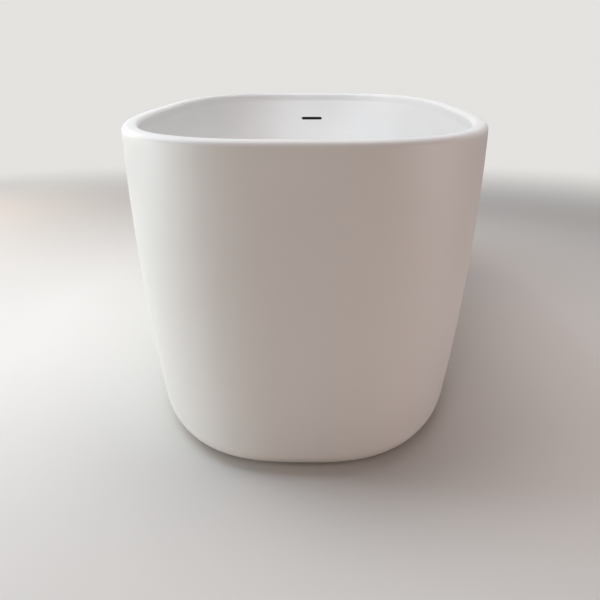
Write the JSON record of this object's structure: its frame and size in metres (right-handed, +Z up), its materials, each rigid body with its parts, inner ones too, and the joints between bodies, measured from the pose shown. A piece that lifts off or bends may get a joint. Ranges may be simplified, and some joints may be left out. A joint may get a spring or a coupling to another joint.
{
  "type": "freestanding bathtub",
  "caption": "Free-standing cast stone bath with rounded-oblong plan, slim rounded rim, slot overflow, pop-up waste, hidden steel frame and levelling feet.",
  "frame": {"origin": "on the floor plane under the middle of the bath, where the feet stand", "axes": "+Z up, +Y along the bath towards the waste and overflow end, +X across it to the right when looking along +Y"},
  "size_m": [0.7592, 1.6997, 0.57],
  "materials": {
    "stone_white": "matte",
    "bond_adhesive": "matte",
    "resin_block": "matte",
    "frame_steel": "satin",
    "zinc_steel": "satin",
    "black_plastic": "satin",
    "black_rubber": "matte",
    "waste_chrome": "polished",
    "brass_fitting": "satin",
    "spring_steel": "satin",
    "white_plastic": "satin",
    "grey_hose": "satin"
  },
  "bodies": {
    "tub": {"outer_shell": "stone_white", "inner_basin": "stone_white", "rim_bead": "bond_adhesive", "shell_blocks": "resin_block", "frame_rail_left": "frame_steel", "frame_rail_right": "frame_steel", "cross_rail_back": "frame_steel", "cross_rail_middle": "frame_steel", "cross_rail_waste": "frame_steel", "frame_screws": "zinc_steel", "frame_washers": "zinc_steel", "foot_nuts": "zinc_steel", "foot_lock_nuts": "zinc_steel", "overflow_screws": "zinc_steel", "rail_caps": "black_plastic", "overflow_box": "black_plastic", "basin_pads": "black_rubber", "overflow_gasket": "black_rubber", "trap_seal": "black_rubber", "inlet_washer": "black_rubber", "outlet_washer": "black_rubber", "waste_gasket": "black_rubber", "flange_gasket": "black_rubber", "waste_flange": "waste_chrome", "plug_cartridge": "brass_fitting", "overflow_inserts": "brass_fitting", "plug_spring": "spring_steel", "hose_clips": "spring_steel", "waste_body": "white_plastic", "trap_body": "white_plastic", "trap_lid": "white_plastic", "inlet_nut": "white_plastic", "outlet_nut": "white_plastic", "overflow_hose": "grey_hose"},
    "plug": {"plug_cap": "stone_white", "plug_seal": "black_rubber", "plug_stem": "brass_fitting"},
    "foot_pad_back_left": {"foot_pad_back_left": "black_plastic", "foot_sole_back_left": "black_rubber"},
    "foot_stud_back_left": {"foot_stud_back_left": "zinc_steel"},
    "foot_pad_back_right": {"foot_pad_back_right": "black_plastic", "foot_sole_back_right": "black_rubber"},
    "foot_stud_back_right": {"foot_stud_back_right": "zinc_steel"},
    "foot_pad_waste_left": {"foot_pad_waste_left": "black_plastic", "foot_sole_waste_left": "black_rubber"},
    "foot_stud_waste_left": {"foot_stud_waste_left": "zinc_steel"},
    "foot_pad_waste_right": {"foot_pad_waste_right": "black_plastic", "foot_sole_waste_right": "black_rubber"},
    "foot_stud_waste_right": {"foot_stud_waste_right": "zinc_steel"}
  },
  "joints": [
    {"name": "plug_press", "type": "slide", "parent": "tub", "child": "plug", "axis": [0, 0, 1], "range_m": [-0.009, 0], "stiffness_N_per_m": 900, "springref_m": 0.006, "deforming": ["plug_spring"]},
    {"name": "foot_travel_back_left", "type": "slide", "parent": "tub", "child": "foot_pad_back_left", "axis": [0, 0, 1], "range_m": [-0.012, 0.008]},
    {"name": "foot_turn_back_left", "type": "hinge", "parent": "foot_pad_back_left", "child": "foot_stud_back_left", "pos_m": [-0.18502, -0.47, 0.04], "axis": [0, 0, 1], "range_deg": [-2520, 1680]},
    {"name": "foot_travel_back_right", "type": "slide", "parent": "tub", "child": "foot_pad_back_right", "axis": [0, 0, 1], "range_m": [-0.012, 0.008]},
    {"name": "foot_turn_back_right", "type": "hinge", "parent": "foot_pad_back_right", "child": "foot_stud_back_right", "pos_m": [0.18502, -0.47, 0.04], "axis": [0, 0, 1], "range_deg": [-2520, 1680]},
    {"name": "foot_travel_waste_left", "type": "slide", "parent": "tub", "child": "foot_pad_waste_left", "axis": [0, 0, 1], "range_m": [-0.012, 0.008]},
    {"name": "foot_turn_waste_left", "type": "hinge", "parent": "foot_pad_waste_left", "child": "foot_stud_waste_left", "pos_m": [-0.18502, 0.56, 0.04], "axis": [0, 0, 1], "range_deg": [-2520, 1680]},
    {"name": "foot_travel_waste_right", "type": "slide", "parent": "tub", "child": "foot_pad_waste_right", "axis": [0, 0, 1], "range_m": [-0.012, 0.008]},
    {"name": "foot_turn_waste_right", "type": "hinge", "parent": "foot_pad_waste_right", "child": "foot_stud_waste_right", "pos_m": [0.18502, 0.56, 0.04], "axis": [0, 0, 1], "range_deg": [-2520, 1680]}
  ],
  "couplings": [
    {"joint": "foot_turn_back_left", "follows": "foot_travel_back_left", "rad_per_m": 3590.4},
    {"joint": "foot_turn_back_right", "follows": "foot_travel_back_right", "rad_per_m": 3590.4},
    {"joint": "foot_turn_waste_left", "follows": "foot_travel_waste_left", "rad_per_m": 3590.4},
    {"joint": "foot_turn_waste_right", "follows": "foot_travel_waste_right", "rad_per_m": 3590.4}
  ]
}
